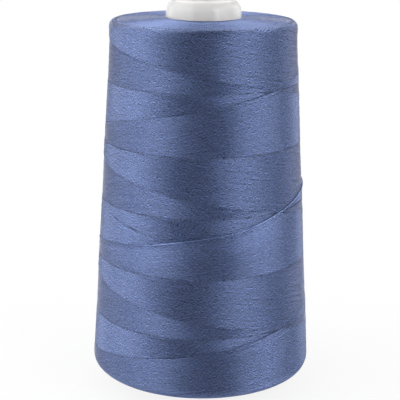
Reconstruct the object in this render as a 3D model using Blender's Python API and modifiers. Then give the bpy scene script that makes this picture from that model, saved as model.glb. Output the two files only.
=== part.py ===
"""A cone of sewing thread: a hollow plastic cone, the thread wound on it, and its outermost turns.

Lengths are in metres and +Z is up. The origin is the centre of the cone's base, which stands on Z = 0.
Run with: blender --background --python part.py
"""

import math

import bpy
import numpy as np

# Plastic cone
CONE_HEIGHT = 0.1450
CONE_HALF_ANGLE = math.radians(3.5)
CONE_BASE_RADIUS = 0.0223
CONE_WALL = 0.0018
NOSE_SHOULDER_RADIUS = 0.0035
BORE_MOUTH_RADIUS = 0.0085
MOUTH_EDGE_RADIUS = 0.0005
BEAD_WIDTH = 0.0011
BEAD_HEIGHT = 0.0030
BEAD_EDGE_RADIUS = 0.0009
TAIL_NOTCH_WIDTH = 0.0014
TAIL_NOTCH_HEIGHT = 0.0042
TAIL_NOTCH_ANGLE = math.radians(112)

# Thread package, measured over its outermost turns
PACKAGE_BOTTOM_Z = 0.0057
PACKAGE_HEIGHT = 0.1318
PACKAGE_BOTTOM_RADIUS = 0.0420
PACKAGE_TOP_RADIUS = 0.03385
TOP_FACE_RISE = 0.0016
TOP_EDGE_RADIUS = 0.0008
BOTTOM_EDGE_RADIUS = 0.0029
CLEARANCE = 0.0003

# Outermost turns: strokes that fall on the inner layer and strokes that rise on the outer one
THREAD_DIAMETER = 0.00045
LAYER_GAP = 0.00042
STROKES_EACH_WAY = 4
TURNS_PER_STROKE = 3
POINTS_PER_LOOP = 24
TURNING_STEPS = 2
STROKE_MARGIN = 0.0008
LAST_WRAP_SLACK = 0.0005
LAST_WRAP_ANGLE = math.radians(0)
START_ANGLE = math.radians(120)

# Facets
CONE_STEPS = 64
PACKAGE_STEPS = 96
ARC_STEPS = 4

CONE_COLOUR = (0.68, 0.66, 0.65, 1.0)
THREAD_COLOUR = (0.147, 0.194, 0.361, 1.0)
STRAND_COLOUR = (0.230, 0.290, 0.480, 1.0)


def clear_scene():
    """Removes the objects that a new file starts with."""
    for obj in list(bpy.data.objects):
        bpy.data.objects.remove(obj, do_unlink=True)


def new_collection(name):
    """A collection under the scene's own."""
    collection = bpy.data.collections.new(name)
    bpy.context.scene.collection.children.link(collection)
    return collection


def new_material(name, colour, roughness):
    """A plain Principled material."""
    material = bpy.data.materials.new(name)
    material.use_nodes = True
    shader = material.node_tree.nodes["Principled BSDF"]
    shader.inputs["Base Color"].default_value = colour
    shader.inputs["Roughness"].default_value = roughness
    material.diffuse_color = colour
    return material


def arc(centre_r, centre_z, radius, start, end, steps=ARC_STEPS):
    """Profile points (r, z) on an arc; the angles are in degrees, counter-clockwise from +r."""
    angles = np.radians(np.linspace(start, end, steps + 1))
    return [(centre_r + radius * math.cos(a), centre_z + radius * math.sin(a)) for a in angles]


def turned(name, profile, steps, collection, material):
    """A closed profile of (r, z) points, outer side first from top to bottom, turned round Z."""
    mesh = bpy.data.meshes.new(name)
    count = len(profile)
    edges = [(i, (i + 1) % count) for i in range(count)]
    mesh.from_pydata([(r, 0.0, z) for r, z in profile], edges, [])
    obj = bpy.data.objects.new(name, mesh)
    collection.objects.link(obj)
    screw = obj.modifiers.new("Turn", "SCREW")
    screw.steps = steps
    screw.render_steps = steps
    screw.use_merge_vertices = True
    screw.merge_threshold = 1e-6
    screw.use_smooth_shade = True
    mesh.materials.append(material)
    return obj


# The cone


def cone_radius(z):
    """Outer radius of the cone's tapered wall at a height."""
    return CONE_BASE_RADIUS - z * math.tan(CONE_HALF_ANGLE)


def cone_profile():
    """Outline of the cone's wall: nose, taper, base bead, and back up the inside to the bore's mouth."""
    top = CONE_HEIGHT
    shoulder_z = top - NOSE_SHOULDER_RADIUS
    shoulder_r = cone_radius(shoulder_z) - NOSE_SHOULDER_RADIUS
    inner_shoulder = NOSE_SHOULDER_RADIUS - CONE_WALL
    bead_radius = CONE_BASE_RADIUS + BEAD_WIDTH
    edge = MOUTH_EDGE_RADIUS
    bead_edge = BEAD_EDGE_RADIUS
    foot_inner = CONE_BASE_RADIUS - CONE_WALL

    profile = arc(BORE_MOUTH_RADIUS + edge, top - edge, edge, 180, 90, 2)
    profile += arc(shoulder_r, shoulder_z, NOSE_SHOULDER_RADIUS, 90, 0, 5)
    profile.append((cone_radius(BEAD_HEIGHT), BEAD_HEIGHT))
    profile += arc(bead_radius - bead_edge, BEAD_HEIGHT - bead_edge, bead_edge, 90, 0, 3)
    profile += arc(bead_radius - bead_edge, bead_edge, bead_edge, 0, -90, 3)
    profile.append((foot_inner, 0.0))
    profile += arc(shoulder_r, shoulder_z, inner_shoulder, 0, 90, 3)
    profile += arc(BORE_MOUTH_RADIUS + edge, top - CONE_WALL + edge, edge, 270, 180, 2)
    return profile


def make_cone(collection, cutters, material):
    """The plastic cone, with the tail notch cut through its base bead."""
    cone = turned("cone", cone_profile(), CONE_STEPS, collection, material)
    mid_radius = CONE_BASE_RADIUS + BEAD_WIDTH / 2 - CONE_WALL / 2
    depth = 3 * (BEAD_WIDTH + CONE_WALL)
    bpy.ops.mesh.primitive_cube_add(
        size=1.0,
        location=(
            mid_radius * math.cos(TAIL_NOTCH_ANGLE),
            mid_radius * math.sin(TAIL_NOTCH_ANGLE),
            0.0,
        ),
        rotation=(0.0, 0.0, TAIL_NOTCH_ANGLE),
        scale=(depth, TAIL_NOTCH_WIDTH, 2 * TAIL_NOTCH_HEIGHT),
    )
    cutter = bpy.context.object
    cutter.name = "tail_notch_cutter"
    cutter.hide_render = True
    cutter.display_type = "WIRE"
    for owner in cutter.users_collection:
        owner.objects.unlink(cutter)
    cutters.objects.link(cutter)
    notch = cone.modifiers.new("Tail notch", "BOOLEAN")
    notch.operation = "DIFFERENCE"
    notch.object = cutter
    return cone


# The thread package


def outline_radius(z):
    """Radius of the package over its outermost turns, on its tapered flank."""
    share = (z - PACKAGE_BOTTOM_Z) / PACKAGE_HEIGHT
    return PACKAGE_BOTTOM_RADIUS + share * (PACKAGE_TOP_RADIUS - PACKAGE_BOTTOM_RADIUS)


def chord_sag(radius):
    """How far a loop's straight runs between two points come in from its circle."""
    return radius * (1 - math.cos(math.pi / POINTS_PER_LOOP))


def outer_layer_radius(z):
    """Centre of a thread on the outer layer."""
    return outline_radius(z) - THREAD_DIAMETER / 2


def inner_layer_radius(z):
    """Centre of a thread on the inner layer, which the outer one crosses."""
    return outer_layer_radius(z) - THREAD_DIAMETER - LAYER_GAP


def package_radius(z):
    """Flank of the solid package, clear of the inner layer's straight runs."""
    layer = inner_layer_radius(z)
    return layer - THREAD_DIAMETER / 2 - CLEARANCE - chord_sag(layer)


def package_profile():
    """Outline of the package: raised top face, flank, base, and its bore round the cone."""
    top = PACKAGE_BOTTOM_Z + PACKAGE_HEIGHT
    bore_top_z = top + TOP_FACE_RISE
    bore_top_r = cone_radius(bore_top_z) + CLEARANCE
    bore_bottom_r = cone_radius(PACKAGE_BOTTOM_Z) + CLEARANCE
    edge = TOP_EDGE_RADIUS
    base_edge = BOTTOM_EDGE_RADIUS

    profile = [(bore_top_r, bore_top_z)]
    profile += arc(package_radius(top) - edge, top - edge, edge, 85, 0, 3)
    profile += arc(
        package_radius(PACKAGE_BOTTOM_Z) - base_edge, PACKAGE_BOTTOM_Z + base_edge, base_edge, 0, -90
    )
    profile.append((bore_bottom_r, PACKAGE_BOTTOM_Z))
    return profile


def make_package(collection, material):
    """The solid mass of thread inside the outermost turns."""
    return turned("thread_package", package_profile(), PACKAGE_STEPS, collection, material)


# The outermost turns


def stroke_steps():
    """Points from one reversal to the next: whole turns less the shift that sets strokes side by side."""
    return round(POINTS_PER_LOOP * (TURNS_PER_STROKE - 0.5 / STROKES_EACH_WAY))


def turning_point(step, from_apex):
    """Height of the rounded path below its pointed apex, in steps of the steady climb."""
    if abs(from_apex) >= step:
        return abs(from_apex)
    return (from_apex**2 + step**2) / (2 * step)


def blend(value):
    """Smooth 0 to 1 ramp."""
    value = min(max(value, 0.0), 1.0)
    return value * value * (3 - 2 * value)


def winding_route():
    """Points of the thread's centre, from its first falling stroke to the top of its last rising one."""
    steps = stroke_steps()
    rounding = TURNING_STEPS / 2
    travel = PACKAGE_HEIGHT - 2 * STROKE_MARGIN - BOTTOM_EDGE_RADIUS - THREAD_DIAMETER
    rise = travel / (steps - 2 * rounding)
    top_apex = PACKAGE_BOTTOM_Z + PACKAGE_HEIGHT - STROKE_MARGIN - THREAD_DIAMETER / 2 + rounding * rise
    bottom_apex = top_apex - steps * rise
    strokes = 2 * STROKES_EACH_WAY
    first = TURNING_STEPS
    last = strokes * steps - TURNING_STEPS

    route = []
    for index in range(first, last + 1):
        stroke, along = divmod(index, steps)
        falling = stroke % 2 == 0
        to_top = along if falling else steps - along
        to_bottom = steps - to_top
        if to_top <= to_bottom:
            z = top_apex - rise * turning_point(TURNING_STEPS, to_top)
        else:
            z = bottom_apex + rise * turning_point(TURNING_STEPS, to_bottom)
        nearest = min(along, steps - along)
        settled = blend(0.5 + 0.5 * nearest / TURNING_STEPS)
        outward = 1 - settled if falling else settled
        inner = inner_layer_radius(z)
        radius = inner + outward * (outer_layer_radius(z) - inner)
        angle = START_ANGLE + 2 * math.pi * index / POINTS_PER_LOOP
        if index > (strokes - 1) * steps:
            radius += slack(angle, to_bottom)
        route.append((radius, angle, z))
    return route


def slack(angle, above_bottom):
    """How far the last wrap stands off the package, beside the middle of its last stroke."""
    middle = stroke_steps() / 2
    if abs(above_bottom - middle) > POINTS_PER_LOOP / 2:
        return 0.0
    return LAST_WRAP_SLACK * max(0.0, math.cos(angle - LAST_WRAP_ANGLE)) ** 2


def with_square_ends(route):
    """Adds the short straight ends that go in to the package, square to its flank."""
    ends = []
    for radius, angle, z in (route[0], route[-1]):
        ends.append((package_radius(z) + CLEARANCE, angle, z))
    return [ends[0], *route, ends[1]]


def to_points(route):
    """Cartesian points of a route given as (radius, angle, z)."""
    radius, angle, z = np.array(route).T
    return np.column_stack([radius * np.cos(angle), radius * np.sin(angle), z])


def least_gap(points, samples=4):
    """Least distance from the thread to another turn of itself, surface to surface."""
    shares = np.arange(samples) / samples
    runs = points[:-1, None] + (points[1:] - points[:-1])[:, None] * shares[None, :, None]
    dense = runs.reshape(-1, 3)
    apart = POINTS_PER_LOOP * samples // 4
    least = math.inf
    for start in range(0, len(dense) - apart, 200):
        block = dense[start : start + 200]
        rest = dense[start + apart :]
        distance = np.linalg.norm(block[:, None] - rest[None], axis=2)
        rows, columns = np.indices(distance.shape)
        least = min(least, distance[columns >= rows].min())
    return least - THREAD_DIAMETER


def make_winding(collection, material):
    """The outermost turns as one unbroken thread."""
    points = to_points(with_square_ends(winding_route()))
    curve = bpy.data.curves.new("thread_winding", "CURVE")
    curve.dimensions = "3D"
    curve.bevel_depth = THREAD_DIAMETER / 2
    curve.bevel_resolution = 1
    curve.use_fill_caps = True
    spline = curve.splines.new("POLY")
    spline.points.add(len(points) - 1)
    for target, point in zip(spline.points, points):
        target.co = (*point, 1.0)
    obj = bpy.data.objects.new("thread_winding", curve)
    collection.objects.link(obj)
    curve.materials.append(material)
    loops = (len(points) - 2) / POINTS_PER_LOOP
    print(f"thread_winding: {loops:.1f} loops, least gap to itself {1000 * least_gap(points):.3f} mm")
    return obj


def main():
    clear_scene()
    parts = new_collection("thread_cone")
    cutters = new_collection("cutters")
    plastic = new_material("cone_plastic", CONE_COLOUR, 0.35)
    thread = new_material("thread", THREAD_COLOUR, 0.75)
    strand = new_material("outer_thread", STRAND_COLOUR, 0.7)
    make_cone(parts, cutters, plastic)
    make_package(parts, thread)
    make_winding(parts, strand)


main()
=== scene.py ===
"""A cone of sewing thread, dressed over its packed CAD model.

Lengths are in metres and +Z is up. Azimuths are measured from the camera's side (-Y), positive towards +X.
Heights on the package are measured from its top edge, so they are negative on the flank.
Run with: blender --background --python scene.py
"""

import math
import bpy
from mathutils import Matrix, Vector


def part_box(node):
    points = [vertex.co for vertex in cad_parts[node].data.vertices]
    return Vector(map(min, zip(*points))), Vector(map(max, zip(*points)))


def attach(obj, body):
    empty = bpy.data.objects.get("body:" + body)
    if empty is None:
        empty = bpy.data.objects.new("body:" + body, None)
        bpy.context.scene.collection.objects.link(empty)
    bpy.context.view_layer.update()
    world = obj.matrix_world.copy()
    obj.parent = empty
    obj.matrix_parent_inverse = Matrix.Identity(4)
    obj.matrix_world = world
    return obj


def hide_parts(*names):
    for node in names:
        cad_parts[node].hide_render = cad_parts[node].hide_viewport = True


bl_info = {
    "name": "Cone of sewing thread",
    "version": (1, 0, 0),
    "blender": (4, 5, 0),
    "location": "3D View > Sidebar > Thread cone",
    "description": "A plastic cone with its cross-wound package of sewing thread, modelled thread by thread",
    "category": "Object",
}

from functools import partial

import bpy
import numpy as np
from bpy.props import FloatProperty, FloatVectorProperty, IntProperty, PointerProperty
from mathutils import Matrix, Vector

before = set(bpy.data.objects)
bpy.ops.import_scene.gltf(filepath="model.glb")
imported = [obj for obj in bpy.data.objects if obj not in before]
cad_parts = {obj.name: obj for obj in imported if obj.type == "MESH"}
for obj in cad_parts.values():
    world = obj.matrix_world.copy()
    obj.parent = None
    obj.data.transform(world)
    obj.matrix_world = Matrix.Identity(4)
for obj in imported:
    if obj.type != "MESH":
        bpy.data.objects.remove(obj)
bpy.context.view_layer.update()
CONE_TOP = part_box("cone")[1][2]

TURN = 2 * math.pi
SEED = 41
SMOOTH_ANGLE = math.radians(40)

# Middle radii of the flank and of the end faces, which turn lengths along a thread into azimuths
FLANK_MIDDLE = 0.038
FACE_MIDDLE = 0.024


# Sizes and colours


def length_of(name, description, default):
    """A length property, in metres."""
    return FloatProperty(name=name, description=description, default=default, unit="LENGTH")


def angle_of(name, description, degrees):
    """An angle property, with its default given in degrees."""
    return FloatProperty(name=name, description=description, default=math.radians(degrees), subtype="ANGLE")


def count_of(name, description, default, least):
    """A whole number property."""
    return IntProperty(name=name, description=description, default=default, min=least)


def colour_of(name, description, *default):
    """A property for an opaque colour."""
    return FloatVectorProperty(
        name=name, description=description, default=(*default, 1.0), subtype="COLOR", size=4, min=0, max=1
    )


class ConeShellSettings(bpy.types.PropertyGroup):
    """The moulded plastic cone"""

    height: length_of("Height", "Base to the flat top of the nose", CONE_TOP)
    half_angle: angle_of("Half angle", "Lean of the wall from the axis", 3.5)
    base_radius: length_of("Base radius", "Outside of the wall at the base, without its bead", 0.0223)
    wall: length_of("Wall", "Thickness of the plastic", 0.0018)
    shoulder: length_of("Shoulder", "Radius between the nose's side and its flat top", 0.0043)
    mouth: length_of("Bore mouth", "Radius of the hole through the nose", 0.0085)
    bead_width: length_of("Bead width", "How far the base bead stands out", 0.0011)
    bead_height: length_of("Bead height", "Height of the base bead", 0.0030)
    notch_width: length_of("Tail notch width", "Slot that holds the thread's tail", 0.0014)
    notch_height: length_of("Tail notch height", "Top of the slot", 0.0042)
    notch_azimuth: angle_of("Tail notch azimuth", "Where the slot is, from +X", 112)
    steps: count_of("Steps", "Facets round the cone", 160, 24)
    colour: colour_of("Plastic colour", "Natural white polypropylene", 0.765, 0.72, 0.685)


class PackageSettings(bpy.types.PropertyGroup):
    """The wound package under and round its outermost threads"""

    bottom_z: length_of("Base height", "Height of the package's base", 0.0057)
    height: length_of("Height", "Base to top edge", 0.1318)
    bottom_radius: length_of("Base radius", "Over the threads at the base", 0.04146)
    top_radius: length_of("Top radius", "Over the threads at the top edge", 0.033655)
    fullness: length_of("Fullness", "How far the newest threads stand over that mean outline", 0.0002)
    top_rise: length_of("Top face rise", "How far the domed top face climbs to the cone", 0.00096)
    top_edge: length_of("Top edge", "Radius of the top edge", 0.0019)
    base_edge: length_of("Base edge", "Radius of the base edge", 0.0044)
    rim: length_of("Rim", "How far the rim stands out, where the strokes turn back", 0.00036)
    rim_reach: length_of("Rim reach", "How far down the flank the rim fades", 0.0034)
    steps: count_of("Steps", "Facets round the package", 144, 24)


class WindingSettings(bpy.types.PropertyGroup):
    """The cross-wound outermost threads"""

    threads: count_of("Threads each way", "Threads side by side in one pitch", 132, 12)
    pitch: length_of("Pitch", "Climb of one turn", 0.04344)
    width: length_of("Thread width", "Across one thread as it lies", 0.00036)
    thickness: length_of("Thread thickness", "Through one thread as it lies", 0.00030)
    layer_depth: length_of("Layer depth", "How much lower the oldest visible threads lie", 0.00030)
    crossing_azimuth: angle_of("Crossing azimuth", "Where the newest rising and falling threads cross", 47.1)
    crossing_height: length_of("Crossing height", "Height of that crossing from the top edge", -0.02167)
    top_apex: length_of("Top apex", "Where a stroke would turn back if it didn't round off", 0.0008)
    bottom_apex: length_of("Bottom apex", "The same at the base", -0.1303)
    steps: count_of("Steps per turn", "Rings in one turn of thread", 72, 24)
    uneven: length_of("Unevenness", "How far threads stray from an even lay", 0.00002)
    # Painted shade: how much darker a thread is painted where it goes under another or lies beside a gap
    groove: FloatProperty(
        name="Groove", description="How dark a thread is where it goes under another", default=0.65,
        min=0, max=1,
    )
    colour: colour_of("Thread colour", "Dyed polyester", 0.122, 0.172, 0.343)


class LastWrapSettings(bpy.types.PropertyGroup):
    """The last loose turn"""

    diameter: length_of("Diameter", "Of the loose thread", 0.00040)
    lift: length_of("Lift", "How far it stands off the package", 0.00012)
    sag: length_of("Sag", "How far it has slipped down in front", 0.0013)


class StageSettings(bpy.types.PropertyGroup):
    """Camera, lamps and floor"""

    lens: FloatProperty(name="Lens", description="Focal length in millimetres", default=105.796)
    pitch: angle_of("Camera pitch", "How far it looks down", 15.053)
    roll: angle_of("Camera roll", "Turn about its own axis", 0.523)
    place: FloatVectorProperty(
        name="Camera place", description="Where the camera stands", subtype="XYZ", unit="LENGTH",
        default=(-0.00072, -0.42893, 0.18501),
    )
    light: FloatProperty(name="Light", description="Scales every lamp", default=1.0, min=0)
    fill: FloatProperty(name="Fill", description="Light of the room", default=0.0)


class ThreadConeSettings(bpy.types.PropertyGroup):
    """All settings of the cone of thread"""

    shell: PointerProperty(type=ConeShellSettings)
    package: PointerProperty(type=PackageSettings)
    winding: PointerProperty(type=WindingSettings)
    last_wrap: PointerProperty(type=LastWrapSettings)
    stage: PointerProperty(type=StageSettings)


# Modelling helpers


def deselect_all():
    """Leaves edit mode and clears the selection."""
    if bpy.context.mode != "OBJECT":
        bpy.ops.object.mode_set(mode="OBJECT")
    bpy.ops.object.select_all(action="DESELECT")


def pick(piece):
    """Selects one piece alone and makes it the active one."""
    deselect_all()
    piece.select_set(True)
    bpy.context.view_layer.objects.active = piece


def arc(centre_r, centre_z, radius, start, end, steps):
    """Profile points (r, z) on an arc; the angles are in degrees, counter-clockwise from +r."""
    angles = np.radians(np.linspace(start, end, steps + 1))
    return [(centre_r + radius * math.cos(a), centre_z + radius * math.sin(a)) for a in angles]


def turn_profile(name, profile, steps):
    """Turns a closed profile of (r, z) points: a circle is added, then extruded and scaled ring by ring."""
    deselect_all()
    radius, z = profile[0]
    bpy.ops.mesh.primitive_circle_add(vertices=steps, radius=radius, location=(0, 0, z))
    piece = bpy.context.object
    piece.name = piece.data.name = name
    bpy.ops.object.mode_set(mode="EDIT")
    bpy.ops.mesh.select_all(action="SELECT")
    for next_radius, next_z in [*profile[1:], profile[0]]:
        bpy.ops.mesh.extrude_region_move(TRANSFORM_OT_translate={"value": (0, 0, next_z - z)})
        share = next_radius / radius
        bpy.ops.transform.resize(value=(share, share, 1), center_override=(0, 0, next_z))
        radius, z = next_radius, next_z
    bpy.ops.mesh.select_all(action="SELECT")
    bpy.ops.mesh.remove_doubles(threshold=1e-6)
    bpy.ops.mesh.normals_make_consistent(inside=False)
    bpy.ops.object.mode_set(mode="OBJECT")
    bpy.ops.object.transform_apply(location=True, rotation=True, scale=True)
    return piece


def place_on(radius, azimuth, z):
    """Points in space from radius, azimuth and height."""
    return np.stack([radius * np.sin(azimuth), -radius * np.cos(azimuth), z], -1)


def unit(vectors):
    """Vectors of length one."""
    return vectors / np.linalg.norm(vectors, axis=-1, keepdims=True)


def corner_places(mesh):
    """The place of each face corner."""
    points = np.empty(len(mesh.vertices) * 3)
    mesh.vertices.foreach_get("co", points)
    corners = np.empty(len(mesh.loops), np.int32)
    mesh.loops.foreach_get("vertex_index", corners)
    return points.reshape(-1, 3)[corners]


def corner_azimuths(mesh, place):
    """The azimuth of each face corner, near that of its face's first corner, so that no face is split."""
    azimuth = np.arctan2(place[:, 0], -place[:, 1])
    first = np.empty(len(mesh.polygons), np.int32)
    total = np.empty(len(mesh.polygons), np.int32)
    mesh.polygons.foreach_get("loop_start", first)
    mesh.polygons.foreach_get("loop_total", total)
    head = np.repeat(first, total)
    return azimuth + TURN * np.round((azimuth[head] - azimuth) / TURN)


def add_map(mesh, name, marks):
    """A UV map from the marks of the face corners."""
    layer = mesh.uv_layers.new(name=name)
    layer.uv.foreach_set("vector", marks.astype(np.float32).ravel())


def add_bake_map(mesh, marks):
    """A second map in which no two stretches overlap, so that a baked picture keeps each thread."""
    add_map(mesh, "OFBake", marks)
    mesh.uv_layers.active = mesh.uv_layers["yarn"]


def sweep_threads(name, runs, width, thickness, sides=4, middle_radius=FLANK_MIDDLE):
    """One mesh of many closed tubes. A run is (points, outward directions, strand value, twin, painted shade
    where it goes under other threads).

    Neighbouring threads are twins, with twin values of one size and opposite signs: where one is light the
    other is dark. Each tube has its outward ridge on the second half of its section. The undersides come
    first in the face list, so a map that stacks both sides of a thread keeps the outward one.
    """
    turns = TURN * np.arange(sides) / sides
    outer = (np.cos(turns) + np.cos(turns + TURN / sides)) > 0
    near = np.arange(sides)[None, :]
    verts, carried, caps, quads, marks = [], [], [], [], []
    start = 0
    for points, outward, *values in runs:
        count = len(points)
        along = np.gradient(points, axis=0)
        side = unit(np.cross(outward, along))
        out = unit(np.cross(along, side))
        section = (
            out[:, None] * (thickness / 2 * np.cos(turns))[None, :, None]
            + side[:, None] * (width / 2 * np.sin(turns))[None, :, None]
        )
        verts.append((points[:, None] + section).reshape(-1, 3))
        carried.append([np.repeat(np.broadcast_to(value, count), sides) for value in values])
        travelled = np.unwrap(np.arctan2(points[:, 0], -points[:, 1])) * middle_radius / (math.pi * width)
        ring = np.arange(count - 1)[:, None]
        corners = ((ring, near), (ring + 1, near), (ring + 1, near + 1), (ring, near + 1))
        quads.append(np.stack([start + r * sides + n % sides for r, n in corners], -1).reshape(-1, 4))
        pairs = [np.stack(np.broadcast_arrays(travelled[r], n / sides), -1) for r, n in corners]
        marks.append(np.stack(pairs, -2).reshape(-1, 4, 2))
        caps.append(np.arange(sides) + start)
        caps.append(np.arange(sides)[::-1] + start + (count - 1) * sides)
        start += count * sides
    verts, quads, marks, caps = (np.concatenate(parts) for parts in (verts, quads, marks, caps))
    order = np.argsort(np.tile(outer, len(quads) // sides), kind="stable")
    corners = np.concatenate([caps, quads[order].ravel()])
    lengths = np.concatenate([np.full(len(caps) // sides, sides), np.full(len(quads), 4)])
    mesh = bpy.data.meshes.new(name)
    mesh.vertices.add(len(verts))
    mesh.vertices.foreach_set("co", verts.ravel())
    mesh.loops.add(len(corners))
    mesh.loops.foreach_set("vertex_index", corners.astype(np.int32))
    mesh.polygons.add(len(lengths))
    mesh.polygons.foreach_set("loop_start", (np.cumsum(lengths) - lengths).astype(np.int32))
    add_map(mesh, "yarn", np.concatenate([np.zeros((len(caps), 2)), marks[order].reshape(-1, 2)]))
    for title, parts in zip(("strand", "twin", "groove"), zip(*carried)):
        attribute = mesh.attributes.new(title, "FLOAT", "POINT")
        attribute.data.foreach_set("value", np.concatenate(parts).astype(np.float32))
    mesh.update(calc_edges=True)
    mesh.validate()
    piece = bpy.data.objects.new(name, mesh)
    bpy.context.scene.collection.objects.link(piece)
    pick(piece)
    bpy.ops.object.shade_smooth()
    return piece


def finish_piece(piece, slot, *nodes):
    """Hangs a finished piece on the frame."""
    deselect_all()
    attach(piece, "root")
    if nodes:
        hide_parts(*nodes)


# Materials


def new_material(name):
    """A node material with only its shader and output, and its nodes."""
    material = bpy.data.materials.new(name)
    material.use_nodes = True
    return material, material.node_tree.nodes


def set_inputs(node, values):
    """Sets a node's inputs, by name or number, each to a value or to the output of another node."""
    for title, value in values.items():
        if isinstance(value, bpy.types.NodeSocket):
            node.id_data.links.new(value, node.inputs[title])
        else:
            node.inputs[title].default_value = value


def add_node(nodes, kind, label, x, y, inputs=None, **settings):
    """The outputs of a new node, which has a label, a place in the editor, inputs and settings."""
    node = nodes.new(kind)
    node.label = node.name = label
    node.location = (x, y)
    for key, value in settings.items():
        setattr(node, key, value)
    set_inputs(node, inputs or {})
    return node.outputs


def maths(nodes, label, operation, x, y, *inputs):
    """The output of a maths node whose inputs are sockets or numbers."""
    return add_node(nodes, "ShaderNodeMath", label, x, y, dict(enumerate(inputs)), operation=operation)[0]


def noise(nodes, label, x, y, place, scale, **inputs):
    """The grey of a noise texture."""
    inputs = {"Vector": place, "Scale": scale, **inputs}
    return add_node(nodes, "ShaderNodeTexNoise", label, x, y, inputs)["Fac"]


def ramp(nodes, label, x, y, value, start, end, low=0.0, high=1.0):
    """A value carried from one range over to another."""
    inputs = {"Value": value, "From Min": start, "From Max": end, "To Min": low, "To Max": high}
    return add_node(nodes, "ShaderNodeMapRange", label, x, y, inputs)["Result"]


def relief(nodes, height, strength, distance):
    """The normal of a surface with a height on it."""
    inputs = {"Height": height, "Strength": strength, "Distance": distance}
    return add_node(nodes, "ShaderNodeBump", "Relief", -180, -240, inputs)["Normal"]


def tinted(colour, share):
    """A colour made lighter or darker by a share."""
    return (*(min(1.0, share * part) for part in colour[:3]), 1.0)


# How the thread of the flank looks; other threads name only what differs
YARN = {
    "Strand": 0.5, "Twin": 1.0, "Groove": 0.0, "Strand shade": 0.09, "Crown shade": 6.0, "Crown lift": 1.5,
    "Gloss": 0.8, "Fibre shade": 1.2, "Ply depth": 0.8, "Roughness": 0.30,
}


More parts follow.
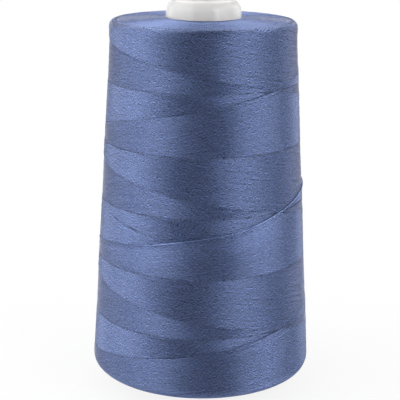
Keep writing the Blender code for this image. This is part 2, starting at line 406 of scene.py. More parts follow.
def spun_yarn_group():
    """Node group: the plies, fibres and slubs of spun polyester, shared by every thread material."""
    name = "Spun yarn"
    if name in bpy.data.node_groups:
        return bpy.data.node_groups[name]
    group = bpy.data.node_groups.new(name, "ShaderNodeTree")
    face = group.interface
    face.new_socket("Colour", in_out="INPUT", socket_type="NodeSocketColor")
    face.new_socket("Along and around", in_out="INPUT", socket_type="NodeSocketVector")
    for title, default in YARN.items():
        face.new_socket(title, in_out="INPUT", socket_type="NodeSocketFloat").default_value = default
    face.new_socket("Colour", in_out="OUTPUT", socket_type="NodeSocketColor")
    for title in ("Roughness", "Height", "Gloss"):
        face.new_socket(title, in_out="OUTPUT", socket_type="NodeSocketFloat")
    nodes = group.nodes
    step = partial(maths, nodes)
    given = add_node(nodes, "NodeGroupInput", "Given", -1200, 0)

    lie = {"Vector": given["Along and around"]}
    along, around, _ = add_node(nodes, "ShaderNodeSeparateXYZ", "Along, around", -1000, 0, lie)
    lay = step("Twist along", "MULTIPLY", -820, 60, along, 0.55)
    lay = step("Twist", "ADD", -660, 60, lay, around)
    lay = step("Three plies", "MULTIPLY", -500, 60, lay, 3 * math.pi)
    ply = step("Ply wave", "SINE", -340, 60, lay)
    ply = step("Ply crowns", "ABSOLUTE", -180, 60, ply)

    place = add_node(nodes, "ShaderNodeTexCoord", "Place", -1000, -300)["Object"]
    fibre = noise(nodes, "Fibres", -660, -300, place, 3000.0, Detail=2.0, Roughness=0.7)
    slub_at = add_node(nodes, "ShaderNodeCombineXYZ", "Slub place", -820, -560, {
        "X": step("Slub length", "MULTIPLY", -1000, -500, along, 0.11),
        "Y": step("Own slubs", "MULTIPLY", -1000, -660, given["Strand"], 57.0),
    })
    slub = noise(nodes, "Slubs", -660, -560, slub_at[0], 1.0, Detail=2.0)
    pair = step("Pair", "ABSOLUTE", -1160, -940, given["Twin"])
    crown_at = add_node(nodes, "ShaderNodeCombineXYZ", "Crown place", -820, -820, {
        "X": step("Crown length", "MULTIPLY", -1000, -780, along, 7.0),
        "Y": step("Own crowns", "MULTIPLY", -1000, -940, pair, 7.31),
    })
    crown = noise(nodes, "Uneven crowns", -660, -820, crown_at[0], 1.0, Detail=0.0)

    own = step("Own shade", "SUBTRACT", -500, -160, given["Strand"], 0.5)
    own = step("Strand shade", "MULTIPLY", -340, -160, own, given["Strand shade"])
    fuzz = step("Fibre", "SUBTRACT", -500, -300, fibre, 0.5)
    fuzz = step("Fibre shade", "MULTIPLY", -340, -300, fuzz, given["Fibre shade"])
    thick = step("Slub", "SUBTRACT", -500, -560, slub, 0.5)
    thick = step("Slub shade", "MULTIPLY", -340, -560, thick, given["Strand shade"])
    # Ply shade is painted shade in the hollows between the plies, lighter on their crowns
    plies = step("Ply shade", "MULTIPLY_ADD", -20, 60, ply, 0.55, 0.62)
    shade = step("Own and fibre", "ADD", -180, -220, own, fuzz)
    shade = step("With slubs", "ADD", -20, -220, shade, thick)
    shade = step("Even shade", "ADD", 140, -120, shade, plies)

    side = step("Which twin", "SIGN", -660, -1060, given["Twin"])
    crown = step("Crown", "SUBTRACT", -500, -820, crown, 0.5)
    crown = step("Opposite in twins", "MULTIPLY", -420, -900, crown, side)
    tilt = step("Crown lift", "MULTIPLY", -340, -980, crown, given["Crown lift"])
    crown = step("Crown shade", "MULTIPLY_ADD", -340, -820, crown, given["Crown shade"], 1.0)
    crown = step("Not black", "MAXIMUM", -180, -820, crown, 0.12)
    shade = step("Shade", "MULTIPLY", 260, -200, shade, crown)
    # Painted shade where a thread goes under another: it darkens the colour and thins the coat there
    lit = step("Out of the groove", "SUBTRACT", 100, -620, 1.0, given["Groove"])
    shade = step("Grooves shade", "MULTIPLY", 260, -360, shade, lit)
    gloss = step("Gloss", "MULTIPLY", 260, -520, crown, given["Gloss"])
    gloss = step("Grooves gloss", "MULTIPLY", 400, -520, gloss, lit)
    lift = step("Ply lift", "MULTIPLY", 400, -340, ply, given["Ply depth"])
    lift = step("Fibres lift", "ADD", 560, -340, lift, fuzz)
    shaded = {0: given["Colour"], "Scale": shade}
    add_node(nodes, "NodeGroupOutput", "Result", 900, 0, {
        "Colour": add_node(nodes, "ShaderNodeVectorMath", "Shaded", 400, 40, shaded, operation="SCALE")[0],
        "Roughness": step("Roughness", "MULTIPLY_ADD", 400, -160, fuzz, 0.5, given["Roughness"]),
        "Height": step("Height", "ADD", 720, -340, lift, tilt),
        "Gloss": step("At most one", "MINIMUM", 560, -520, gloss, 1.0),
    })
    return group


def thread_material(name, colour, **shades):
    """Dyed spun polyester: a tinted satin gloss over a darker core."""
    material, nodes = new_material(name)
    lie = add_node(nodes, "ShaderNodeUVMap", "Along the thread", -640, 0, uv_map="yarn")
    inputs = {"Colour": colour, "Along and around": lie["UV"], **YARN, **shades}
    for title, y in (("Strand", -160), ("Twin", -340), ("Groove", -520)):
        own = add_node(nodes, "ShaderNodeAttribute", title, -640, y, attribute_name=title.lower())
        inputs[title] = own["Fac"]
    yarn = add_node(nodes, "ShaderNodeGroup", "Spun yarn", -400, 0, inputs, node_tree=spun_yarn_group())
    set_inputs(nodes["Principled BSDF"], {
        "Base Color": yarn["Colour"],
        "Roughness": yarn["Roughness"],
        "Normal": relief(nodes, yarn["Height"], 0.6, 0.00003),
        "Metallic": 0.85,
        "Specular Tint": (0.55, 0.59, 0.78, 1),
        "Coat Weight": yarn["Gloss"],
        "Coat Roughness": 0.2,
        "Coat IOR": 1.5,
    })
    material.diffuse_color = colour
    return material


def plastic_material(name, colour):
    """Natural white polypropylene: satin, a little translucent, with faint flow marks."""
    material, nodes = new_material(name)
    place = add_node(nodes, "ShaderNodeTexCoord", "Place", -900, 0)["Object"]
    flow = noise(nodes, "Flow marks", -640, 60, place, 55.0, Detail=3.0)
    grain = noise(nodes, "Moulded grain", -640, -260, place, 1800.0)
    # A colour mix has its two colours in inputs 6 and 7, and its result in output 2
    tones = {0: flow, 6: tinted(colour, 0.94), 7: tinted(colour, 1.05)}
    set_inputs(nodes["Principled BSDF"], {
        "Base Color": add_node(nodes, "ShaderNodeMix", "Tone", -380, 60, tones, data_type="RGBA")[2],
        "Roughness": maths(nodes, "Roughness", "MULTIPLY_ADD", -380, -160, flow, 0.06, 0.10),
        "Normal": relief(nodes, grain, 0.25, 0.00004),
        "IOR": 1.49,
        "Specular IOR Level": 0.4,
        "Subsurface Weight": 1.0,
        "Subsurface Scale": 0.018,
        "Subsurface Radius": (1.0, 0.97, 0.94),
    })
    material.diffuse_color = colour
    return material


# The plastic cone

# Small radii: the mouth's lip, the bead's edges and its fillet, the inner edge of the foot, the tail notch
LIP_RADIUS = 0.0005
BEAD_EDGE = 0.0009
BEAD_FILLET = 0.0004
FOOT_EDGE = 0.0003
NOTCH_EDGE = 0.0004


def cone_radius(shell, z):
    """Outer radius of the cone's wall at a height."""
    return shell.base_radius - z * math.tan(shell.half_angle)


def cone_profile(shell):
    """Outline of the wall, from the bore's mouth over the nose and down to the bead, then up inside."""
    top = shell.height
    shoulder_z = top - shell.shoulder
    shoulder_r = cone_radius(shell, shoulder_z) - shell.shoulder
    mouth_r = shell.mouth + LIP_RADIUS
    bead_r = shell.base_radius + shell.bead_width - BEAD_EDGE
    bead_top = shell.bead_height
    fillet_r = cone_radius(shell, bead_top) + BEAD_FILLET
    foot_r = shell.base_radius - shell.wall + FOOT_EDGE
    return [
        *arc(mouth_r, top - LIP_RADIUS, LIP_RADIUS, 180, 90, 4),
        *arc(shoulder_r, shoulder_z, shell.shoulder, 90, 0, 12),
        *arc(fillet_r, bead_top + BEAD_FILLET, BEAD_FILLET, 180, 270, 3),
        *arc(bead_r, bead_top - BEAD_EDGE, BEAD_EDGE, 90, 0, 5),
        *arc(bead_r, BEAD_EDGE, BEAD_EDGE, 0, -90, 5),
        *arc(foot_r, FOOT_EDGE, FOOT_EDGE, 270, 180, 2),
        *arc(shoulder_r, shoulder_z, shell.shoulder - shell.wall, 0, 90, 6),
        *arc(mouth_r, top - shell.wall + LIP_RADIUS, LIP_RADIUS, 270, 180, 4),
    ]


class THREADCONE_OT_cone_shell(bpy.types.Operator):
    """Model the plastic cone with its nose, bore, base bead and tail notch"""

    bl_idname = "thread_cone.cone_shell"
    bl_label = "Cone shell"
    bl_options = {"REGISTER", "UNDO"}

    def execute(self, context):
        shell = context.scene.thread_cone.shell
        piece = turn_profile("cone_shell", cone_profile(shell), shell.steps)
        middle = shell.base_radius + (shell.bead_width - shell.wall) / 2
        azimuth = shell.notch_azimuth
        deselect_all()
        bpy.ops.mesh.primitive_cube_add(
            size=1,
            location=(middle * math.cos(azimuth), middle * math.sin(azimuth), 0),
            rotation=(0, 0, azimuth),
            scale=(3 * (shell.bead_width + shell.wall), shell.notch_width, 2 * shell.notch_height),
        )
        cutter = context.object
        round_top = cutter.modifiers.new("Round", "BEVEL")
        round_top.width = NOTCH_EDGE
        round_top.segments = 3
        bpy.ops.object.modifier_apply(modifier=round_top.name)
        context.view_layer.objects.active = piece
        notch = piece.modifiers.new("Tail notch", "BOOLEAN")
        notch.operation = "DIFFERENCE"
        notch.object = cutter
        bpy.ops.object.modifier_apply(modifier=notch.name)
        bpy.data.objects.remove(cutter, do_unlink=True)
        pick(piece)
        bpy.ops.object.shade_smooth_by_angle(angle=SMOOTH_ANGLE)
        piece.data.materials.clear()
        piece.data.materials.append(plastic_material("cone_plastic_white", tuple(shell.colour)))
        finish_piece(piece, "cone_plastic", "cone")
        return {"FINISHED"}


# The package

# The top face's crease inside the rim: a share of the rim's height, and its width
CREASE_SHARE = 0.45
CREASE_WIDTH = 0.0009
# How deep the body lies under the top face's threads, but for the last stretch before the edge
FACE_BEDDING = 0.00018
EDGE_STRETCH = 0.001
BORE_CLEARANCE = 0.0002


def flank_radius(package, height):
    """Radius over the newest threads at a height measured from the top edge."""
    height = np.asarray(height, float)
    lean = (package.top_radius - package.bottom_radius) / package.height
    radius = package.top_radius + package.fullness + lean * height
    below_rim = np.minimum(height + package.top_edge, 0)
    radius = radius + package.rim * np.exp(-((below_rim / package.rim_reach) ** 2))
    for edge, depth in (
        (package.base_edge, package.base_edge - (height + package.height)),
        (package.top_edge, height + package.top_edge),
    ):
        depth = np.clip(depth, 0, edge)
        radius = radius - edge + np.sqrt(np.maximum(edge**2 - depth**2, 0))
    return radius


def dome_height(package, shell, radius):
    """Height of the domed top face above the top edge."""
    radius = np.asarray(radius, float)
    inner = cone_radius(shell, package.bottom_z + package.height)
    outer = float(flank_radius(package, -package.top_edge)) - package.top_edge
    share = np.clip((radius - inner) / (outer - inner), 0, 1)
    crease = CREASE_SHARE * package.rim * np.clip(1 - (outer - radius) / CREASE_WIDTH, 0, 1)
    return package.top_rise * (1 - share**2.2) - crease


def package_profile(package, shell, under):
    """Outline of the body under the outermost threads, from the cone outwards and round to the base."""
    base = package.bottom_z
    top = base + package.height
    bore_top = cone_radius(shell, top + package.top_rise) + BORE_CLEARANCE
    bore_bottom = cone_radius(shell, base) + BORE_CLEARANCE
    edge = package.top_edge
    edge_r = float(flank_radius(package, -edge)) - edge
    profile = []
    for radius in np.linspace(bore_top, edge_r, 16):
        bedding = FACE_BEDDING if radius < edge_r - EDGE_STRETCH else under
        profile.append((float(radius), float(top + dome_height(package, shell, radius) - bedding)))
    profile += arc(edge_r, top - edge, edge - under, 75, 5, 5)
    lowest = package.base_edge - package.height
    for height in np.linspace(-1.2 * edge, lowest, 40):
        profile.append((float(flank_radius(package, height)) - under, top + height))
    corner = float(flank_radius(package, lowest)) - package.base_edge
    profile += arc(corner, base + package.base_edge, package.base_edge - under, -8, -90, 9)
    profile.append((bore_bottom, base + under))
    return profile


class THREADCONE_OT_package_body(bpy.types.Operator):
    """Model the solid body of wound thread that lies under the outermost threads"""

    bl_idname = "thread_cone.package_body"
    bl_label = "Package body"
    bl_options = {"REGISTER", "UNDO"}

    def execute(self, context):
        settings = context.scene.thread_cone
        package, winding = settings.package, settings.winding
        under = winding.layer_depth + winding.thickness / 2
        profile = package_profile(package, settings.shell, under)
        piece = turn_profile("package_body", profile, package.steps)
        pick(piece)
        bpy.ops.object.shade_smooth_by_angle(angle=SMOOTH_ANGLE)
        add_map(piece.data, "yarn", body_marks(piece.data, winding.width))
        piece.data.materials.clear()
        piece.data.materials.append(thread_material("thread_in_the_package", tuple(winding.colour)))
        finish_piece(piece, "thread", "thread_package")
        return {"FINISHED"}


def body_marks(mesh, width):
    """The yarn map round the body: along the turns, and one thread to each unit across them."""
    place = corner_places(mesh)
    along = corner_azimuths(mesh, place) * FLANK_MIDDLE / (math.pi * width)
    across = (place[:, 2] - np.hypot(place[:, 0], place[:, 1])) / width
    return np.stack([along, across], -1)


# The outermost threads

# At its ends a stretch dives under the threads that cross it. In metres along it: where it starts to dive
# and where it is down, counted from the crossing, and how far the painted shade of the threads over it
# reaches.
DIVE_BEFORE = 0.0005
DIVE_AFTER = 0.0013
DIVE_STEPS = np.array([0.2, 0.55, 1.0])
SHADE_START = 0.0018
SHADE_END = 0.0012
SHORTEST_STRETCH = 0.0015
# How the painted shade of crossings weakens in front, by degrees from the camera's side, and near both edges
FRONT_SHADE = ((8, 35), (0.35, 1))
EDGE_FADE = 0.004

# How far the last turn has slipped down: azimuths in degrees, and shares of its sag there
SLIP = (
    (-128, -81, -64, -45, -31, -17, -4, 10, 23, 34, 43, 53, 68, 82, 100, 150),
    (0, 0.22, 0.5, 0.95, 1.1, 0.8, 0.82, 1.0, 1.4, 0.86, 0.38, 0.08, -0.42, -0.2, 0, 0),
)
SLIP_ROUNDING = range(-6, 7, 2)
# Threads this near the slipped turn, below and above it, have followed it
FOLLOW_BELOW = 0.006
FOLLOW_ABOVE = 0.002
# The newest rising thread gets painted shade where the slipped turn lies on it
NEWEST = 0
WRAP_SHADE = ((12, 30, 100, 120), (0, 0.65, 0.65, 0))
# Two falling threads with painted shade for the gaps beside them, at a height: azimuths in degrees, and
# shades
GAP_THREADS = (81, 82)
GAP_HEIGHT = -0.071
GAP_REACH = 0.004
GAP_SHADE = ((-74, -65, -60, -55, -50, -45, -40, -35, -30), (0, 0.2, 0.2, 0.65, 0.2, 0.25, 0.65, 0.25, 0))


def folded(azimuth):
    """An azimuth brought to within half a turn of the camera's side."""
    return (azimuth + math.pi) % TURN - math.pi


def slipped_line(settings, azimuth):
    """Where the last turn was wound, and how far it and the threads beside it have slipped down since."""
    winding, wrap = settings.winding, settings.last_wrap
    azimuth = folded(azimuth)
    wound_at = winding.crossing_height + (azimuth - winding.crossing_azimuth - TURN) * winding.pitch / TURN
    degrees = np.degrees(azimuth)
    slip = np.mean([np.interp(degrees + shift, *SLIP) for shift in SLIP_ROUNDING], axis=0)
    return wound_at, wrap.sag * slip


def stroke_height(winding, from_top, from_base):
    """Height of a thread by its azimuth from each turning point, rounded off where it turns back."""
    slope = winding.pitch / TURN
    reach = winding.top_apex / slope * 2
    near_top, near_base = (
        np.where(away < reach, (away**2 + reach**2) / (2 * reach), away) for away in (from_top, from_base)
    )
    return np.where(
        from_top < from_base, winding.top_apex - slope * near_top, winding.bottom_apex + slope * near_base
    )


def visible_runs(winding, rising):
    """Each stretch that shows: (thread, age, start, end, azimuth at the top, azimuth at the base).

    A thread shows where it is newer than the thread that crosses it. Ages run from 0, the newest, to one
    turn.
    """
    per_height = TURN / winding.pitch
    crossing, height = winding.crossing_azimuth, winding.crossing_height
    newest_rising = crossing - per_height * height
    newest_falling = crossing + per_height * height
    own, other = (newest_rising, newest_falling) if rising else (newest_falling, newest_rising)
    sign = 1 if rising else -1
    runs = []
    for index in range(winding.threads):
        age = TURN * (index + 0.5) / winding.threads
        line = own + age
        at_top = line + sign * per_height * winding.top_apex
        at_base = line + sign * per_height * winding.bottom_apex
        low, high = min(at_top, at_base), max(at_top, at_base)
        first = math.floor((2 * low - line - other) / TURN) - 1
        last = math.ceil((2 * high - line - other) / TURN) + 1
        for lap in range(first, last + 1):
            start = (line + other + TURN * lap + age) / 2
            end = (line + other + TURN * lap + TURN) / 2
            start, end = max(start, low), min(end, high)
            if (end - start) * FLANK_MIDDLE > SHORTEST_STRETCH:
                runs.append((index, age, start, end, at_top, at_base))
    return runs


def stretch_azimuths(start, end, step):
    """Azimuths of a stretch's rings: evenly spaced, with more where it dives at its two ends."""
    before, after = DIVE_BEFORE / FLANK_MIDDLE, DIVE_AFTER / FLANK_MIDDLE
    inner = np.arange(math.ceil((start + before) / step), math.floor((end - before) / step) + 1)
    return np.unique(np.round(np.concatenate([
        start - after * DIVE_STEPS[::-1],
        [start + before, start + SHADE_START / FLANK_MIDDLE, end - SHADE_END / FLANK_MIDDLE, end - before],
        inner * step,
        end + after * DIVE_STEPS,
    ]), 6))


def crossing_shade(azimuth, start, end):
    """How much painted shade the threads that cross a stretch's two ends put on it."""
    at_start = 1 - (azimuth - start) * FLANK_MIDDLE / SHADE_START
    at_end = 1 - (end - azimuth) * FLANK_MIDDLE / SHADE_END
    in_front = np.interp(np.abs(np.degrees(folded(azimuth))), *FRONT_SHADE)
    return np.clip(np.maximum(at_start, at_end), 0, 1) * in_front


def wound_threads(settings, rising):
    """Tube runs for all the stretches that show in one direction."""
    package, winding = settings.package, settings.winding
    rng = np.random.default_rng(SEED + rising)
    count = winding.threads
    drift = winding.uneven
    shift = rng.normal(0, 1, count)
    shift = drift * (shift + 0.5 * (np.roll(shift, 1) + np.roll(shift, -1)))
    lift = rng.normal(0, 0.8, count)
    lift = drift * (lift + 1.2 * np.repeat(rng.normal(0, 1, count // 3 + 1), 3)[:count])
    tone = rng.uniform(0, 1, count)
    top_z = package.bottom_z + package.height
    slope = winding.pitch / TURN
    before, after = DIVE_BEFORE / FLANK_MIDDLE, DIVE_AFTER / FLANK_MIDDLE
    runs = []
    for index, age, start, end, at_top, at_base in visible_runs(winding, rising):
        if not rising:
            wound_at, slip = slipped_line(settings, end)
            ends_at = winding.top_apex - (end - at_top) * slope
            if abs(ends_at - wound_at) < FOLLOW_ABOVE and end + 0.01 < at_base:
                end += slip / (2 * slope)
        azimuth = stretch_azimuths(start, end, TURN / winding.steps)
        height = stroke_height(winding, np.abs(azimuth - at_top), np.abs(azimuth - at_base))
        outside = np.maximum(start - azimuth, azimuth - end) + before
        share = np.clip(outside / (before + after), 0, 1)
        depth = winding.layer_depth * age / TURN
        dive = max(1.15 * winding.thickness - depth, 0.35 * winding.thickness)
        wave = rng.uniform(0, TURN, 4)
        wander = drift * (np.sin(5 * azimuth + wave[0]) + 0.6 * np.sin(13 * azimuth + wave[1]))
        if rising:
            wound_at, slip = slipped_line(settings, azimuth)
            below = wound_at - height
            height = height - slip * np.exp(-((below / FOLLOW_BELOW) ** 2)) * (below > -FOLLOW_ABOVE)
        height = height + shift[index] + 0.6 * wander
        rise = lift[index] + 0.5 * drift * np.sin(9 * azimuth + wave[2])
        radius = flank_radius(package, height) - winding.thickness / 2 - depth + rise
        points = place_on(radius - dive * share**2 * (3 - 2 * share), azimuth, top_z + height)
        outward = place_on(np.ones_like(azimuth), azimuth, np.zeros_like(azimuth))
        own_tone = float(np.clip(tone[index] + rng.normal(0, 0.08), 0, 1))
        inside = np.clip(np.minimum(-height, package.height + height) / EDGE_FADE - 1, 0, 1)
        # Painted shade, darkest where the thread dives under a crossing one
        groove = winding.groove * crossing_shade(azimuth, start, end) * inside
        degrees = np.degrees(folded(azimuth))
        # Painted shade beside the slipped turn, and for the gaps beside two falling threads
        if rising and index == NEWEST:
            beside = np.abs(below) < FOLLOW_ABOVE
            groove = np.maximum(groove, np.interp(degrees, *WRAP_SHADE) * beside)
        elif not rising and index in GAP_THREADS:
            beside = np.abs(height - GAP_HEIGHT) < GAP_REACH
            groove = np.maximum(groove, np.interp(degrees, *GAP_SHADE) * beside)
        runs.append((points, outward, own_tone, twin_of(index), groove))
    return runs


def twin_of(index):
    """The twin value of a thread: its pair's number, negative for the first of the two."""
    return (1 + index // 2) * (1 if index % 2 else -1)


def flank_marks(mesh):
    """The flank unrolled, with room beside the seam for the faces that cross it."""
    place = corner_places(mesh)
    across = 0.5 + corner_azimuths(mesh, place) / (1.06 * TURN)
    up = 0.005 + 0.99 * (place[:, 2] - place[:, 2].min()) / np.ptp(place[:, 2])
    return np.stack([across, up], -1)


class WindingOperator:
    """What the two winding operators share."""

    def wind(self, context, name, rising, *nodes):
        settings = context.scene.thread_cone
        winding = settings.winding
        runs = wound_threads(settings, rising)
        if not runs:
            raise RuntimeError(f"{name}: no thread shows with these sizes")
        piece = sweep_threads(name, runs, winding.width, winding.thickness)
        add_bake_map(piece.data, flank_marks(piece.data))
        piece.data.materials.append(thread_material(f"{name}_thread", tuple(winding.colour)))
        finish_piece(piece, "outer_thread", *nodes)


class THREADCONE_OT_rising_threads(bpy.types.Operator, WindingOperator):
    """Lay the outermost threads that climb to the right as they go round"""

    bl_idname = "thread_cone.rising_threads"
    bl_label = "Rising threads"
    bl_options = {"REGISTER", "UNDO"}

    def execute(self, context):
        self.wind(context, "winding_rising", True, "thread_winding")
        return {"FINISHED"}


class THREADCONE_OT_falling_threads(bpy.types.Operator, WindingOperator):
    """Lay the outermost threads that fall to the right as they go round"""

    bl_idname = "thread_cone.falling_threads"
    bl_label = "Falling threads"
    bl_options = {"REGISTER", "UNDO"}

    def execute(self, context):
        self.wind(context, "winding_falling", False)
        return {"FINISHED"}


# Where the strokes turn back

# How far the top face's threads reach into the cone, and how far the base's stop short of it
FACE_OVERLAP = 0.0001
BASE_GAP = 0.0004
# Arcs in a row: how many at one radius, the fewest, the points of each, its tilt and its bow
ARCS_AT_RADIUS = (15, 0.030)
FEWEST_ARCS = 6
ARC_POINTS = 10
ARC_TILT = 0.00022
ARC_BOW = 0.00012


def face_route(package, shell, top, spacing):
    """Points (r, z, outward r, outward z) one thread apart, from the edge inwards over an end face."""
    if top:
        z = package.bottom_z + package.height
        outer = float(flank_radius(package, -package.top_edge)) - package.top_edge
        inner = cone_radius(shell, z + package.top_rise) - FACE_OVERLAP
        outline = [(r, z + float(dome_height(package, shell, r))) for r in np.linspace(outer, inner, 40)]
    else:
        z = package.bottom_z
        edge = package.base_edge
        outer = float(flank_radius(package, -package.height + edge))
        outline = arc(outer - edge, z + edge, edge, -35, -90, 8)
        outline.append((cone_radius(shell, z) + BASE_GAP, z))
    outline = np.array(outline)
    lengths = np.concatenate([[0], np.cumsum(np.linalg.norm(np.diff(outline, axis=0), axis=1))])
    rows = round(lengths[-1] / spacing)
    at = lengths[-1] * (np.arange(rows) + 0.5) / rows
    radius = np.interp(at, lengths, outline[:, 0])
    height = np.interp(at, lengths, outline[:, 1])
    ahead = unit(np.stack([np.gradient(radius), np.gradient(height)], -1))
    outward = np.stack([ahead[:, 1], -ahead[:, 0]], -1) * (1 if top else -1)
    return np.column_stack([radius, height, outward])


def turning_arcs(settings, top):
    """Tube runs for the arcs in which the strokes turn back, laid over an end face."""
    package, winding = settings.package, settings.winding
    rng = np.random.default_rng(SEED + 10 + top)
    spacing = 0.96 * winding.width
    share = np.linspace(-1, 1, ARC_POINTS)
    runs = []
    for row, (radius, z, out_r, out_z) in enumerate(face_route(package, settings.shell, top, spacing)):
        arcs = max(FEWEST_ARCS, round(ARCS_AT_RADIUS[0] * radius / ARCS_AT_RADIUS[1]))
        begin = rng.uniform(0, TURN)
        for index in range(arcs):
            middle = begin + TURN * (index + rng.uniform(-0.15, 0.15)) / arcs
            azimuth = middle + TURN / arcs * rng.uniform(0.72, 0.85) * share
            tilt = rng.normal(0, ARC_TILT) * share + ARC_BOW * (share**2 - 0.4)
            dive = winding.thickness * (0.5 + 1.1 * share**4 + rng.uniform(-0.10, 0.12))
            r = radius - out_r * dive - out_z * tilt
            points = place_on(r, azimuth, z - out_z * dive + out_r * tilt)
            outward = place_on(np.full(ARC_POINTS, out_r), azimuth, np.full(ARC_POINTS, out_z))
            runs.append((points, outward, rng.uniform(0, 1), twin_of(row), 0.0))
    return runs


def face_marks(mesh):
    """An end face seen straight on."""
    place = corner_places(mesh)[:, :2]
    return 0.5 + place / (2.02 * np.abs(place).max())


class THREADCONE_OT_end_turns(bpy.types.Operator):
    """Lay the arcs of thread that show on the top face and on the base, where the strokes turn back"""

    bl_idname = "thread_cone.end_turns"
    bl_label = "Turning arcs"
    bl_options = {"REGISTER", "UNDO"}

    def execute(self, context):
        settings = context.scene.thread_cone
        winding = settings.winding
        looks = {"Strand shade": 0.05, "Crown shade": 0.6, "Fibre shade": 0.8, "Gloss": 0.45}
        for name, top in (("end_turns_top", True), ("end_turns_base", False)):
            runs = turning_arcs(settings, top)
            piece = sweep_threads(name, runs, winding.width, winding.thickness, middle_radius=FACE_MIDDLE)
            add_bake_map(piece.data, face_marks(piece.data))
            # The arcs are a lighter copy of the thread colour: painted light on the top face and the base
            look = thread_material(f"{name}_thread", tinted(winding.colour, 1.25), **looks)
            piece.data.materials.append(look)
            finish_piece(piece, "thread")
        return {"FINISHED"}


# The last loose turn

# By azimuth in degrees, as shares of the thread's diameter or lift: how far it rides up on the threads
# under it, stands off, is tucked in at its ends, and lies bedded on the left, with painted shade there
WRAP_REACH = (-128.0, 150.0)
RIDES_UP = ((10, 30), (0, 0.5))
STANDS_OFF = ((20, 60, 92, 125), (0, 0.7, 1, 0))
TUCKED = ((-128, -118, 140, 150), (1.3, 0, 0, 1.3))
BEDDED = ((-34, -22), (0.30, 0))
BEDDED_SHADE = ((-34, -22), (0.55, 0))


class THREADCONE_OT_last_wrap(bpy.types.Operator):
    """Lay the last turn of thread, which stands off the package on its right side"""

    bl_idname = "thread_cone.last_wrap"
    bl_label = "Last wrap"
    bl_options = {"REGISTER", "UNDO"}

    def execute(self, context):
        settings = context.scene.thread_cone
        package, winding, wrap = settings.package, settings.winding, settings.last_wrap
        degrees = np.arange(WRAP_REACH[0], WRAP_REACH[1] + 0.1, 2.0)
        azimuth = np.radians(degrees)
        wound_at, slip = slipped_line(settings, azimuth)
        height = wound_at - slip + np.interp(degrees, *RIDES_UP) * wrap.diameter
        sunk = np.interp(degrees, *TUCKED) + np.interp(degrees, *BEDDED) - 0.20
        stand = wrap.lift * np.interp(degrees, *STANDS_OFF)
        radius = flank_radius(package, height) + stand - sunk * wrap.diameter
        points = place_on(radius, azimuth, package.bottom_z + package.height + height)
        outward = place_on(np.ones_like(azimuth), azimuth, np.zeros_like(azimuth))
        # The last value is the painted shade on the bedded left part of the loose thread
        run = (points, outward, 0.9, 1.0, np.interp(degrees, *BEDDED_SHADE))
        piece = sweep_threads("last_wrap", [run], wrap.diameter, wrap.diameter, sides=8)
        # The loose thread is a lighter copy of the thread colour: painted light, for how it catches the
        # lamps
        look = thread_material("last_wrap_thread", tinted(winding.colour, 1.6), **{"Crown shade": 2.5})
        piece.data.materials.append(look)
        finish_piece(piece, "outer_thread")
        return {"FINISHED"}


# Stage


def floor_material():
    """Pale floor: white to the eye, and darker only where the object keeps the light off it."""
    material, nodes = new_material("pale_floor")
    step = partial(maths, nodes)
    nodes.remove(nodes["Principled BSDF"])
    pale, white = {"Color": (0.86, 0.86, 0.86, 1)}, {"Color": (1, 1, 1, 1)}
    rays = add_node(nodes, "ShaderNodeLightPath", "Rays", -900, 200)
    place = {0: add_node(nodes, "ShaderNodeTexCoord", "Place", -1100, -100)["Object"]}
    far = add_node(nodes, "ShaderNodeVectorMath", "Distance", -900, -100, place, operation="LENGTH")["Value"]
    fade = ramp(nodes, "Shadow fades", -700, -100, far, 0.04, 0.16, 0.86)
    sweep = ramp(nodes, "Only the far floor is mirrored", -700, -360, far, 1.0, 1.5)
    mirrored = step("Mirrored far off", "MULTIPLY", -700, 60, rays["Is Glossy Ray"], sweep)
    seen = step("Seen or mirrored", "MAXIMUM", -700, 200, rays["Is Camera Ray"], mirrored)
    seen = step("Or seen through", "MAXIMUM", -540, 200, seen, rays["Is Transmission Ray"])
    floor = add_node(nodes, "ShaderNodeMixShader", "Floor", 0, 40, {
        0: step("White share", "MULTIPLY", -380, 100, seen, fade),
        1: add_node(nodes, "ShaderNodeBsdfDiffuse", "Matt floor", -200, 100, pale)[0],
        2: add_node(nodes, "ShaderNodeEmission", "White", -200, -60, white)[0],
    })
    set_inputs(nodes["Material Output"], {"Surface": floor[0]})
    return material


# Rows of soft light: name, elevation in degrees, width and height in metres, then the azimuth in degrees
# and the watts of each lamp. Two curved rows stand at the sides, and dimmer ones higher up and behind.
SOFTBOX_ROWS = (
    ("left_row", 25, 0.247, 0.60, ((-120, 0.85), (-100, 0.62), (-80, 1.56), (-60, 1.48), (-40, 0.80))),
    ("right_row", 25, 0.247, 0.60, ((40, 1.20), (60, 1.52), (80, 0.98), (130, 0.64))),
    ("high", 55, 0.40, 0.40, ((-100, 1.00), (100, 0.62))),
    ("back_left", 50, 0.40, 0.40, ((-140, 0.26),)),
    ("back_middle", 47, 0.50, 0.40, ((180, 1.28),)),
    ("back_right", 50, 0.40, 0.40, ((140, 0.16),)),
)
# The same for the lamps that light only the plastic nose
NOSE_ROWS = (
    ("nose_left", 3, 0.13, 0.50, ((-40, 0.52),)),
    ("nose_front", 12, 0.30, 0.30, ((0, 0.42),)),
    ("nose_right", 3, 0.13, 0.50, ((42, 0.62),)),
)
SOFTBOX_DISTANCE = 0.70
PACKAGE_AIM = Vector((0, 0, 0.075))
NOSE_AIM = Vector((0, 0, 0.141))


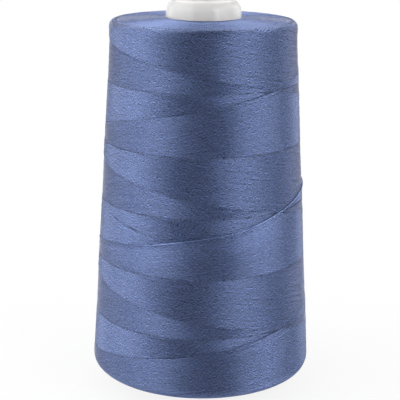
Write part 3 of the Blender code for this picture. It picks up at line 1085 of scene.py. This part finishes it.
def softboxes(rows, aim, light):
    """Area lamps that look at a point, all at one distance from it."""
    lamps = []
    for name, elevation, width, height, places in rows:
        level = SOFTBOX_DISTANCE * math.cos(math.radians(elevation))
        up = SOFTBOX_DISTANCE * math.sin(math.radians(elevation))
        for degrees, watts in places:
            lamp = bpy.data.lights.new(name, "AREA")
            lamp.shape = "RECTANGLE"
            lamp.size, lamp.size_y = width, height
            lamp.energy = light * watts
            holder = bpy.data.objects.new(name, lamp)
            bpy.context.scene.collection.objects.link(holder)
            azimuth = math.radians(degrees)
            holder.location = aim + Vector((level * math.sin(azimuth), -level * math.cos(azimuth), up))
            holder.rotation_euler = (aim - holder.location).to_track_quat("-Z", "Y").to_euler()
            holder.visible_camera = False
            lamps.append(holder)
    return lamps


def room_light(fill):
    """World: white to the eye, with a white backdrop behind the object and a dim room in front of it."""
    world = bpy.data.worlds.new("Studio")
    bpy.context.scene.world = world
    world.use_nodes = True
    nodes = world.node_tree.nodes
    step = partial(maths, nodes)
    rays = add_node(nodes, "ShaderNodeLightPath", "Rays", -900, 200)
    way = {0: add_node(nodes, "ShaderNodeTexCoord", "Way", -1100, -100)["Generated"]}
    parts = add_node(nodes, "ShaderNodeSeparateXYZ", "Back is +Y", -900, -100, way)
    behind = ramp(nodes, "Backdrop", -700, -100, parts["Y"], -0.05, 0.05)
    low = ramp(nodes, "Top of the backdrop", -700, -360, parts["Z"], 0.15, 0.60, 1.0, 0.0)
    mirrored = step("Mirrored", "MAXIMUM", -700, 100, rays["Is Glossy Ray"], rays["Is Transmission Ray"])
    mirrored = step("Behind", "MULTIPLY", -520, 60, mirrored, behind)
    mirrored = step("Low", "MULTIPLY", -520, -100, mirrored, low)
    white = step("White share", "MAXIMUM", -360, 120, rays["Is Camera Ray"], mirrored)
    brightness = ramp(nodes, "Brightness", -200, 60, white, 0.0, 1.0, fill)
    set_inputs(nodes["Background"], {"Color": (1, 1, 1, 1), "Strength": brightness})


class THREADCONE_OT_stage(bpy.types.Operator):
    """Set the camera, the lamps, the floor and the white backdrop"""

    bl_idname = "thread_cone.stage"
    bl_label = "Stage"
    bl_options = {"REGISTER", "UNDO"}

    def execute(self, context):
        scene = context.scene
        stage = scene.thread_cone.stage
        lens = bpy.data.cameras.new("Camera")
        lens.lens = stage.lens
        lens.dof.use_dof = False
        camera = bpy.data.objects.new("Camera", lens)
        scene.collection.objects.link(camera)
        look = Matrix.Rotation(math.pi / 2 - stage.pitch, 4, "X") @ Matrix.Rotation(stage.roll, 4, "Z")
        camera.matrix_world = Matrix.Translation(stage.place) @ look
        scene.camera = camera

        deselect_all()
        bpy.ops.mesh.primitive_circle_add(vertices=64, radius=2.5, fill_type="NGON", location=(0, 0, 0))
        floor = context.object
        floor.name = floor.data.name = "floor"
        floor.data.materials.append(floor_material())

        softboxes(SOFTBOX_ROWS, PACKAGE_AIM, stage.light)
        if "cone_shell" not in bpy.data.objects:
            raise RuntimeError("The cone shell comes before the stage, whose nose lamps light only it")
        lit = bpy.data.collections.new("lit_by_nose_lamps")
        lit.objects.link(bpy.data.objects["cone_shell"])
        for lamp in softboxes(NOSE_ROWS, NOSE_AIM, stage.light):
            lamp.light_linking.receiver_collection = lit
        room_light(stage.fill)
        scene.view_settings.view_transform = "Standard"
        return {"FINISHED"}


# Add-on


OPERATORS = (
    THREADCONE_OT_cone_shell,
    THREADCONE_OT_package_body,
    THREADCONE_OT_rising_threads,
    THREADCONE_OT_falling_threads,
    THREADCONE_OT_end_turns,
    THREADCONE_OT_last_wrap,
    THREADCONE_OT_stage,
)


class THREADCONE_PT_panel(bpy.types.Panel):
    """Lists the steps that make the cone of thread"""

    bl_idname = "THREADCONE_PT_panel"
    bl_label = "Thread cone"
    bl_space_type = "VIEW_3D"
    bl_region_type = "UI"
    bl_category = "Thread cone"

    def draw(self, context):
        for operator in OPERATORS:
            self.layout.operator(operator.bl_idname)
        settings = context.scene.thread_cone
        for part in type(settings).__annotations__:
            group = getattr(settings, part)
            box = self.layout.box()
            box.label(text=type(group).__doc__)
            for key in type(group).__annotations__:
                box.prop(group, key)


CLASSES = (
    ConeShellSettings,
    PackageSettings,
    WindingSettings,
    LastWrapSettings,
    StageSettings,
    ThreadConeSettings,
    *OPERATORS,
    THREADCONE_PT_panel,
)


def register():
    for cls in CLASSES:
        bpy.utils.register_class(cls)
    bpy.types.Scene.thread_cone = PointerProperty(type=ThreadConeSettings)


def unregister():
    del bpy.types.Scene.thread_cone
    for cls in reversed(CLASSES):
        bpy.utils.unregister_class(cls)


def main():
    register()
    bpy.ops.thread_cone.cone_shell()
    bpy.ops.thread_cone.package_body()
    bpy.ops.thread_cone.rising_threads()
    bpy.ops.thread_cone.falling_threads()
    bpy.ops.thread_cone.end_turns()
    bpy.ops.thread_cone.last_wrap()
    bpy.ops.thread_cone.stage()


if __name__ == "__main__":
    main()
